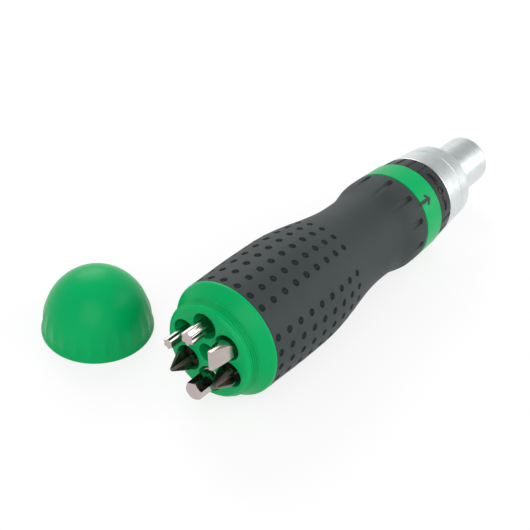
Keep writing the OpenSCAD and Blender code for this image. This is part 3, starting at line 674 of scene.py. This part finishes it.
class SCREWDRIVER_OT_screw_cap(bpy.types.Operator):
    """Models the screw cap with its fluted skirt and threaded bore"""
    bl_idname = "screwdriver.screw_cap"
    bl_label = "Screw cap"

    def execute(self, context):
        size = context.scene.driver_cap
        per_flute = 8
        rim, edge = size.rim_radius, 0.4 * MM
        outside = [(rim - edge, 0), (rim - 0.12 * MM, 0.12 * MM), (rim, edge), (rim - 0.02 * MM, 0.9 * MM)]
        dome = quarter(24)
        high = size.height - size.shoulder_height
        outside += [(size.shoulder_radius * cos(t), size.shoulder_height + high * sin(t)) for t in dome]
        inside = size.bore_radius - 0.5 * MM
        room = size.height - size.wall - size.bore_height
        outline = [(size.bore_radius, 0)] + outside
        outline += [(inside * cos(t), size.bore_height + room * sin(t)) for t in reversed(dome[::2])]
        outline.append((size.bore_radius, size.bore_height))
        crest, foot, top = size.bore_radius - 0.3 * MM, 0.5 * MM, 0.17 * MM
        for z in (3.5 * MM, 1.9 * MM):
            outline += [(size.bore_radius, z + foot), (crest, z + top), (crest, z - top),
                        (size.bore_radius, z - foot)]
        piece = turned("green_cap", outline + outline[:1], size.flutes * per_flute)
        pitch, low, run_in = 360 / size.flutes, 1.0 * MM, 1.8 * MM
        for wide, z in outside:
            if not low < z < size.flute_top:
                continue
            fade = min(1, (z - low) / run_in) * (1 - ((z - low) / (size.flute_top - low)) ** 2)
            for offset in range(per_flute // 2):
                hollow = size.flute_depth * fade * (1 - (2 * offset / per_flute) ** 2)
                pick("VERT", lambda r, a, h: abs(h - z) < TINY and abs(r - wide) < 0.1 * MM
                     and abs(off(a, pitch) - offset * pitch / per_flute) < 0.2)
                draw_in(1 - hollow / wide)
        place(piece, CAP_AT, 40)
        dress(piece, palette()["moulded_polypropylene"], "cap", "green_plastic", "end_cap")
        return {"FINISHED"}


class SCREWDRIVER_OT_selector_ring(bpy.types.Operator):
    """Models the selector ring with its narrow flutes and its three marks"""
    bl_idname = "screwdriver.selector_ring"
    bl_label = "Selector ring"

    def execute(self, context):
        size = context.scene.driver_front
        low, high = size.ring_start, size.ring_start + size.ring_length
        rear, front, edge = size.ring_radius, size.ring_radius - size.ring_drop, 0.35 * MM
        outline = [(size.ring_bore, low), (rear - edge, low), (rear - 0.1 * MM, low + 0.1 * MM),
                   (rear, low + edge), ((rear + front) / 2, (low + high) / 2), (front, high - edge),
                   (front - 0.1 * MM, high - 0.1 * MM), (front - edge, high), (size.ring_bore, high)]
        columns, pitch, bare = 288, 15, 33
        piece = turned("direction_ring", outline + outline[:1], columns)
        for offset, share in ((0, 1.0), (1, 0.8)):
            pick("VERT", lambda r, a, z: r > size.ring_bore + MM and abs(a) > bare
                 and abs(off(a - pitch / 2, pitch) - offset * 360 / columns) < 0.3)
            draw_in(1 - share * size.ring_flute / rear)
        place(piece, facing(MARK_ANGLE))
        dress(piece, palette()["moulded_abs"], "selector", "black_plastic", "selector_ring")
        marks = self.marks(size, (rear + front) / 2, (low + high) / 2)
        dress(marks, palette()["printed_lacquer"], "selector", "black_plastic")
        return {"FINISHED"}

    def marks(self, size, radius, middle):
        """A circle between two curved arrows that point at it, standing just proud of the ring."""
        top = radius + size.mark_height
        circle = start("direction_marks", bpy.ops.mesh.primitive_torus_add, major_radius=1.15 * MM,
                       minor_radius=0.36 * MM, major_segments=32, minor_segments=10,
                       location=(radius - 0.05 * MM, 0, middle), rotation=(0, pi / 2, 0))
        bpy.ops.transform.resize(value=(0.8, 1, 1), center_override=(radius, 0, middle))
        clean()
        place(circle, facing(MARK_ANGLE))
        made = [circle]
        # Half widths of an arrow, as shares of its stem's, from its point to its tail.
        widths = [0.2, 0.95, 1.7, 2.4, 1.0, 1.0, 1.0, 1.0, 1.0, 1.0, 0.9, 0.7]
        begin, arc, half = 7.5, 19.0, 0.52 * MM
        bar = [(radius - 0.5 * MM, -half), (top - 0.08 * MM, -half), (top, -0.8 * half), (top, 0.8 * half),
               (top - 0.08 * MM, half), (radius - 0.5 * MM, half)]
        last = len(widths) - 1
        for side in (1, -1):
            piece = turned("turn_mark", bar + bar[:1], last, radians(arc))
            for i, width in enumerate(widths):
                pick("VERT", lambda r, a, z: off(a - arc * i / last, 360) < 0.4)
                bpy.ops.transform.resize(value=(1, 1, width), center_override=(0, 0, 0))
                bow = 0.5 * MM * (1 - (2 * i / last - 1) ** 2)
                bpy.ops.transform.translate(value=(0, 0, bow))
            close_ends()
            bpy.ops.transform.resize(value=(1, side, 1), center_override=(0, 0, 0))
            clean()
            at = Matrix.Translation((0, 0, middle - 0.2 * MM))
            place(piece, facing(MARK_ANGLE + side * begin) @ at)
            made.append(piece)
        join(*made)
        return circle


class SCREWDRIVER_OT_metal_nose(bpy.types.Operator):
    """Models the metal sleeve with its turned line and the spindle with its bit socket"""
    bl_idname = "screwdriver.metal_nose"
    bl_label = "Metal nose"

    def execute(self, context):
        size = context.scene.driver_front
        self.sleeve(size)
        self.spindle(size)
        return {"FINISHED"}

    def sleeve(self, size):
        """A tapered sleeve, rounded in front, with a turned line."""
        low, high = size.sleeve_start, size.sleeve_start + size.sleeve_length

        def radius(z):
            return size.sleeve_radius - size.sleeve_drop * (z - low) / size.sleeve_length

        edge, soft, line = 0.35 * MM, 1.5 * MM, low + size.sleeve_line
        bore, throat = 10.95 * MM, 7.55 * MM
        outline = [(bore, low), (radius(low) - edge, low), (radius(low) - 0.1 * MM, low + 0.1 * MM),
                   (radius(low), low + edge), (radius(line), line)]
        outline += [(radius(line) - deep * MM, line + up * MM)
                    for deep, up in ((0.1, 0.03), (0.4, 0.12), (0.4, 0.4), (0.1, 0.5))]
        outline.append((radius(line + 0.55 * MM), line + 0.55 * MM))
        outline += [(radius(high - soft) - soft * (1 - cos(t)), high - soft + soft * sin(t))
                    for t in quarter(10)]
        outline += [(throat + 0.2 * MM, high), (throat, high - 0.2 * MM), (throat, low + 5 * MM),
                    (bore, low + 5 * MM)]
        piece = turned("metal_sleeve", outline + outline[:1], COLUMNS)
        place(piece, facing(-90), 30)
        dress(piece, palette()["satin_chrome_plate"], "handle", "satin_metal", "nose_sleeve")

    def spindle(self, size):
        """The nose with its socket, and behind it the journals and the ratchet teeth."""
        nose, high, soft, edge = size.nose_radius, NOSE_END, 1.4 * MM, 0.5 * MM
        journal, front, root, tip = 4.5 * MM, 7.5 * MM, 6.4 * MM, 7.2 * MM
        teeth_low, teeth_high, tail = 92.1 * MM, 96.1 * MM, 65.7 * MM
        snap_root, snap_low, snap_high = 3.8 * MM, 67.3 * MM, 68.1 * MM
        relief, shoulder = 6 * MM, 102.5 * MM
        outline = [(0, tail), (journal - edge, tail), (journal, tail + edge), (journal, snap_low),
                   (snap_root, snap_low), (snap_root, snap_high), (journal, snap_high), (journal, teeth_low),
                   (root, teeth_low), (root, teeth_high), (relief, teeth_high), (relief, shoulder),
                   (front, shoulder), (front, size.nose_start), (nose - edge, size.nose_start),
                   (nose - 0.12 * MM, size.nose_start + 0.15 * MM), (nose, size.nose_start + edge)]
        outline += [(nose - soft * (1 - cos(t)), high - soft * (1 - sin(t))) for t in quarter(10)]
        piece = turned("metal_spindle", outline + [(0, high)], COLUMNS)
        tooth, column = 15, 360 / COLUMNS
        for offset, r in ((0, tip), (1, tip - (tip - root) / 3), (2, root + (tip - root) / 3)):
            pick("VERT", lambda h, a, z: abs(h - root) < 0.01 * MM
                 and teeth_low - TINY < z < teeth_high + TINY
                 and abs(off(a, tooth) - offset * column) < 0.2)
            draw_in(r / root)
        across = to_corner(size.socket_flats)
        socket = start("socket", bpy.ops.mesh.primitive_cylinder_add, vertices=6, radius=across,
                       depth=size.socket_depth + MM, location=(0, 0, high - (size.socket_depth - MM) / 2))
        combine(piece, socket, "DIFFERENCE")
        lead_in, mouth_radius = high - 0.7 * MM, across + 0.35 * MM
        mouth = [(0, lead_in), (size.socket_flats / 2, lead_in), (mouth_radius, high),
                 (mouth_radius, high + MM), (0, high + MM)]
        combine(piece, turned("mouth", mouth, 72), "DIFFERENCE")
        inside, outside = 2.9 * MM, across + 0.7 * MM
        groove_low, groove_high = high - 4.4 * MM, high - 3.6 * MM
        groove = [(inside, groove_low), (outside, groove_low), (outside, groove_high), (inside, groove_high)]
        combine(piece, turned("clip_groove", groove + groove[:1], 72), "DIFFERENCE")
        well = start("magnet_well", bpy.ops.mesh.primitive_cylinder_add, vertices=48, radius=2.9 * MM,
                     depth=4.5 * MM, location=(0, 0, high - size.socket_depth - 1.75 * MM))
        combine(piece, well, "DIFFERENCE")
        place(piece, facing(-90), 30)
        dress(piece, palette()["satin_chrome_plate"], "spindle", "satin_metal", "spindle")


class SCREWDRIVER_OT_bits(bpy.types.Operator):
    """Models the six bits: one shank, copied, and a tip for each"""
    bl_idname = "screwdriver.bits"
    bl_label = "Bits"

    blade_turn = -32
    hex_turn = 42

    def execute(self, context):
        size = context.scene.driver_bits
        shank = self.shank(size)
        nickel, dark = ("nickel_plated_steel", "bit_steel"), ("phosphated_steel", "dark_steel")
        tips = [
            ("star_bit_small", self.star_tip(size, size.star_small), 0, nickel),
            ("star_bit_large", self.star_tip(size, size.star_large), 0, nickel),
            ("slotted_bit", self.blade_tip(size), self.blade_turn, nickel),
            ("star_cross_bit", self.cross_tip(size, True), 0, dark),
            ("hex_bit", self.hex_tip(size), self.hex_turn, nickel),
            ("cross_bit", self.cross_tip(size, False), 0, dark),
        ]
        core = context.scene.driver_core
        floor = core.hole_depth - core.flange_length - core.neck_length
        for i, (name, tip, turn, (material, slot)) in enumerate(tips):
            join(shank)
            bpy.ops.object.duplicate()
            piece = bpy.context.object
            piece.name = piece.data.name = name + "_model"
            tip.matrix_world = Matrix.Rotation(radians(turn), 4, "Z")
            join(piece, tip)
            at = Matrix.Translation((core.hole_pitch, 0, floor)) @ Matrix.Rotation(pi, 4, "X")
            place(piece, facing(HOLE_TURN + 360 * i / HOLES) @ at, 30)
            dress(piece, palette()[material], name, slot, name)
        bpy.data.objects.remove(shank)
        return {"FINISHED"}

    def shank(self, size):
        """A hexagon whose corners are turned off at both ends and at the snap groove."""
        flat, corner, edge, snap = size.flats / 2, size.corner_radius, 0.5 * MM, 9 * MM
        piece = plate("shank", hexagon(to_corner(size.flats), 0), (0, 0, size.shank))
        outline = [(0, -TINY), (corner - edge, 0), (corner, edge), (corner, snap), (flat, snap + edge),
                   (flat, snap + 1.5 * MM), (corner, snap + 2 * MM), (corner, size.shank - edge),
                   (corner - edge, size.shank), (0, size.shank + TINY)]
        combine(piece, turned("shank_turning", outline, 96), "INTERSECT")
        return piece

    def stem(self, size, radius, top):
        """Corners of a round stem that grows out of the hexagon."""
        low, flat = size.shank - 0.3 * MM, size.flats / 2
        return [(0, low), (flat - 0.15 * MM, low), (flat - 0.3 * MM, size.shank + 0.1 * MM),
                (radius + 0.1 * MM, size.shank + 0.9 * MM), (radius, size.shank + 1.2 * MM), (radius, top)]

    def star_tip(self, size, across):
        """Six lobes with narrow hollows between, run out at the hexagon and chamfered at the end."""
        end, radius, edge, columns = size.length, across / 2, 0.22 * MM, 72
        run_out = [(0.0, 1.2), (0.3, 1.5), (0.7, 1.9), (1.0, 2.4)]
        outline = self.stem(size, radius, size.shank + run_out[0][1] * MM)
        outline += [(radius, size.shank + z * MM) for _, z in run_out[1:]]
        outline += [(radius, end - edge), (radius - 0.3 * edge, end - 0.2 * edge), (radius - edge, end),
                    (0, end)]
        piece = turned("star_tip", outline, columns)
        # Depth of a hollow as a share of the radius, and a power over 1 that makes it narrower than a wave.
        hollow, narrow = 0.27, 1.2
        lobe, column = 60, 360 / columns
        for offset in range(1, 7):
            wave = hollow * ((1 - cos(pi * offset / 6)) / 2) ** narrow
            for share, z in run_out[1:]:
                whole = share == 1.0
                pick("VERT", lambda r, a, h: r > 0.1 * MM and abs(off(a, lobe) - offset * column) < 0.5
                     and (h > size.shank + z * MM - TINY if whole else abs(h - size.shank - z * MM) < TINY))
                draw_in(1 - share * wave)
        return piece

    def blade_tip(self, size):
        """A round stem ground to a flat blade."""
        end, wide, half = size.length, size.blade_width / 2, size.blade_end / 2
        outline = self.stem(size, wide - 0.1 * MM, size.shank + 1.4 * MM)
        outline += [(wide, size.shank + 1.6 * MM), (wide, end), (0, end)]
        piece = turned("blade_tip", outline, 96)
        low = size.shank - MM
        ground = [(2 * wide, low), (2 * wide, size.shank + 0.7 * MM), (wide, size.shank + MM), (half, end)]
        loop = ground + [(-x, z) for x, z in reversed(ground)]
        tool = plate("grinding", [(x, -2 * wide, z) for x, z in loop], (0, 4 * wide, 0))
        combine(piece, tool, "INTERSECT")
        soften(piece, 0.07 * MM, 2, 35)
        return piece

    def cross_tip(self, size, ribbed):
        """A pointed stem with four milled flutes; the second kind has a rib along each flute's root."""
        end, radius, cone, blunt = size.length, size.cross_radius, 4.8 * MM, 0.45 * MM
        outline = self.stem(size, radius, end - cone)
        outline += [(blunt + 0.1 * MM, end - 0.12 * MM), (blunt - 0.1 * MM, end), (0, end)]
        piece = turned("cross_tip", outline, 64)
        web, reach, run, rib, lean = 0.3 * MM, 4 * MM, 8 * MM, 0.45 * MM, radians(7)
        root = [(0, rib), (0.8 * rib, 0.8 * rib), (rib, 0)] if ribbed else [(0, 0)]
        loop = root + [(reach, 0), (reach, reach), (0, reach)]
        lean_out = (Matrix.Rotation(radians(45), 4, "Z") @ Matrix.Rotation(-lean, 4, "Y")
                    @ Matrix.Rotation(radians(-45), 4, "Z"))
        cutter = plate("flute", [(x, y, -run) for x, y in loop], (0, 0, run + 2 * MM))
        cutters = [cutter]
        for _ in range(3):
            join(cutter)
            bpy.ops.object.duplicate()
            cutters.append(bpy.context.object)
        for k, tool in enumerate(cutters):
            tool.matrix_world = (Matrix.Rotation(k * pi / 2, 4, "Z") @ Matrix.Translation((web, web, end))
                                 @ lean_out)
        join(*cutters)
        combine(piece, cutter, "DIFFERENCE")
        soften(piece, 0.06 * MM, 1, 45)
        return piece

    def hex_tip(self, size):
        """A smaller hexagon with a turned collar behind it and a chamfered end."""
        end, across = size.length, to_corner(size.hex_flats)
        low, sunk = size.shank + 2.4 * MM, 0.3 * MM
        piece = plate("hex_tip", hexagon(across, low - sunk), (0, 0, end - low + sunk))
        turning = [(0, low - MM), (across + MM, low - MM), (across + MM, end - 1.2 * MM),
                   (across - 0.3 * MM, end), (0, end + TINY)]
        combine(piece, turned("end_turning", turning, 96), "INTERSECT")
        soften(piece, 0.08 * MM, 2, 25)
        collar = self.stem(size, across + 0.2 * MM, low - 0.35 * MM)
        collar += [(across + 0.1 * MM, low - 0.1 * MM), (across - 0.25 * MM, low), (0, low)]
        join(piece, turned("hex_collar", collar, 72))
        return piece


class SCREWDRIVER_OT_inner_works(bpy.types.Operator):
    """Gives the sealed ratchet pieces their metals"""
    bl_idname = "screwdriver.inner_works"
    bl_label = "Inner works"

    finishes = {
        "machined_steel": ("ratchet_body", "forward_pawl_pin", "reverse_pawl_pin", "detent_ball",
                           "pawl_spring", "detent_spring", "bit_clip"),
        "sintered_bronze": ("rear_bushing", "thrust_washer"),
        "phosphated_steel": ("forward_pawl", "reverse_pawl", "retaining_ring"),
        "nickel_plated_steel": ("socket_magnet",),
    }

    def execute(self, context):
        for material, names in self.finishes.items():
            for name in names:
                slots = frame["nodes"][name].data.materials
                slots.clear()
                slots.append(palette()[material])
        return {"FINISHED"}


class SCREWDRIVER_OT_stage(bpy.types.Operator):
    """Makes the white floor, the soft lights and the camera"""
    bl_idname = "screwdriver.stage"
    bl_label = "Stage"

    def execute(self, context):
        size = context.scene.driver_stage
        floor = start("floor", bpy.ops.mesh.primitive_plane_add, size=size.floor_size)
        bpy.ops.mesh.subdivide(number_cuts=4)
        bpy.ops.object.mode_set(mode="OBJECT")
        floor.data.materials.append(self.paper())
        self.room(context.scene, size)
        lamp_width = 0.8
        for name, at, watts in (("key_light", (0.55, 0.8, 0.75), size.key_power),
                                ("side_light", (0.55, -0.75, 0.4), size.side_power),
                                ("front_light", (-0.75, -0.35, 0.75), size.front_power)):
            bpy.ops.object.light_add(type="AREA", location=at)
            lamp = context.object
            lamp.name = lamp.data.name = name
            lamp.data.size, lamp.data.energy = lamp_width, watts
            lamp.rotation_euler = (-Vector(at)).to_track_quat("-Z", "Y").to_euler()
        self.camera(context.scene, size)
        context.scene.view_settings.view_transform = "Standard"
        return {"FINISHED"}

    def seen(self, tree):
        """A socket that is 1 for what the camera sees, straight on, in metal or through glass."""
        path = node(tree, "ShaderNodeLightPath").outputs
        direct = node(tree, "ShaderNodeMath", links={0: path["Is Camera Ray"], 1: path["Is Glossy Ray"]},
                      operation="MAXIMUM")
        return node(tree, "ShaderNodeMath", links={0: direct.outputs[0], 1: path["Is Transmission Ray"]},
                    operation="MAXIMUM").outputs[0]

    def paper(self):
        """Matt white studio paper: it takes a faint shadow, and shows as white to the camera and in metal."""
        material = blank("studio_paper")
        tree = material.node_tree
        # The share of light that the paper throws onto the object, and what the camera sees of its shading.
        bounce, shown, own_light = 0.75, 0.24, 0.78
        at = node(tree, "ShaderNodeTexCoord").outputs["Object"]
        fibre = node(tree, "ShaderNodeTexNoise", {"Scale": 1 / (2 * MM)}, {"Vector": at})
        tone = node(tree, "ShaderNodeMapRange", {"To Min": 0.99, "To Max": 1.01},
                    {"Value": fibre.outputs["Fac"]})
        seen = self.seen(tree)
        albedo = node(tree, "ShaderNodeMapRange", {"To Min": bounce, "To Max": shown}, {"Value": seen})
        white = node(tree, "ShaderNodeMath", links={0: tone.outputs["Result"], 1: albedo.outputs["Result"]},
                     operation="MULTIPLY")
        matt = node(tree, "ShaderNodeBsdfDiffuse", links={"Color": white.outputs[0]})
        lift = node(tree, "ShaderNodeMath", {1: own_light}, {0: seen}, operation="MULTIPLY")
        glow = node(tree, "ShaderNodeEmission", links={"Strength": lift.outputs[0]})
        both = node(tree, "ShaderNodeAddShader", links={0: matt.outputs[0], 1: glow.outputs[0]})
        node(tree, "ShaderNodeOutputMaterial", links={"Surface": both.outputs[0]})
        return material

    def room(self, scene, size):
        """A pale room with a darker ceiling, white at the horizon where the camera sees it."""
        world = bpy.data.worlds.new("studio_room")
        world.use_nodes = True
        tree = world.node_tree
        tree.nodes.clear()
        toward = node(tree, "ShaderNodeTexCoord").outputs["Generated"]
        height = node(tree, "ShaderNodeSeparateXYZ", links={"Vector": toward}).outputs["Z"]
        # How steeply a view looks up where the walls end, and where the ceiling is darkest.
        walls_end, darkest = 0.2, 0.85
        ceiling = node(tree, "ShaderNodeMapRange",
                       {"From Min": walls_end, "From Max": darkest, "To Min": 1.0, "To Max": size.zenith},
                       {"Value": height})
        light = node(tree, "ShaderNodeMapRange", {"To Min": size.room, "To Max": 1.0},
                     {"Value": self.seen(tree)})
        strength = node(tree, "ShaderNodeMath", operation="MULTIPLY",
                        links={0: ceiling.outputs["Result"], 1: light.outputs["Result"]})
        back = node(tree, "ShaderNodeBackground", links={"Strength": strength.outputs[0]})
        node(tree, "ShaderNodeOutputWorld", links={"Surface": back.outputs[0]})
        scene.world = world

    def camera(self, scene, size):
        """A camera at the photograph's height and turn."""
        at, ahead = Vector(size.camera_at), (Vector(size.target) - Vector(size.camera_at)).normalized()
        right = ahead.cross(Vector((0, 0, 1))).normalized()
        up = right.cross(ahead)
        level, lean = cos(size.roll), sin(size.roll)
        right, up = level * right + lean * up, level * up - lean * right
        bpy.ops.object.camera_add(location=at, rotation=Matrix((right, up, -ahead)).transposed().to_euler())
        camera = bpy.context.object
        camera.data.lens, camera.data.sensor_width = size.lens, 36.0
        camera.data.clip_start = MM
        scene.camera = camera


class SCREWDRIVER_PT_panel(bpy.types.Panel):
    """Lists the screwdriver's pieces"""
    bl_idname = "SCREWDRIVER_PT_panel"
    bl_label = "Screwdriver"
    bl_space_type = "VIEW_3D"
    bl_region_type = "UI"
    bl_category = "Screwdriver"

    def draw(self, context):
        for name in GROUPS:
            settings = getattr(context.scene, name)
            box = self.layout.box()
            for key in settings.bl_rna.properties.keys():
                if key not in ("rna_type", "name"):
                    box.prop(settings, key)
        for operator in OPERATORS:
            self.layout.operator(operator.bl_idname)


GROUPS = {
    "driver_grip": GripSizes,
    "driver_core": CoreSizes,
    "driver_cap": CapSizes,
    "driver_front": FrontSizes,
    "driver_bits": BitSizes,
    "driver_stage": StageSizes,
}
OPERATORS = (
    SCREWDRIVER_OT_handle_core,
    SCREWDRIVER_OT_rubber_grip,
    SCREWDRIVER_OT_screw_cap,
    SCREWDRIVER_OT_selector_ring,
    SCREWDRIVER_OT_metal_nose,
    SCREWDRIVER_OT_bits,
    SCREWDRIVER_OT_inner_works,
    SCREWDRIVER_OT_stage,
)


def register():
    for kind in (*GROUPS.values(), *OPERATORS, SCREWDRIVER_PT_panel):
        bpy.utils.register_class(kind)
    for name, group in GROUPS.items():
        setattr(bpy.types.Scene, name, PointerProperty(type=group))


def unregister():
    for name in GROUPS:
        delattr(bpy.types.Scene, name)
    for kind in reversed((*GROUPS.values(), *OPERATORS, SCREWDRIVER_PT_panel)):
        bpy.utils.unregister_class(kind)


def main():
    register()
    bpy.ops.screwdriver.handle_core()
    bpy.ops.screwdriver.rubber_grip()
    bpy.ops.screwdriver.screw_cap()
    bpy.ops.screwdriver.selector_ring()
    bpy.ops.screwdriver.metal_nose()
    bpy.ops.screwdriver.bits()
    bpy.ops.screwdriver.inner_works()
    bpy.ops.screwdriver.stage()
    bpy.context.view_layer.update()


if __name__ == "__main__":
    main()
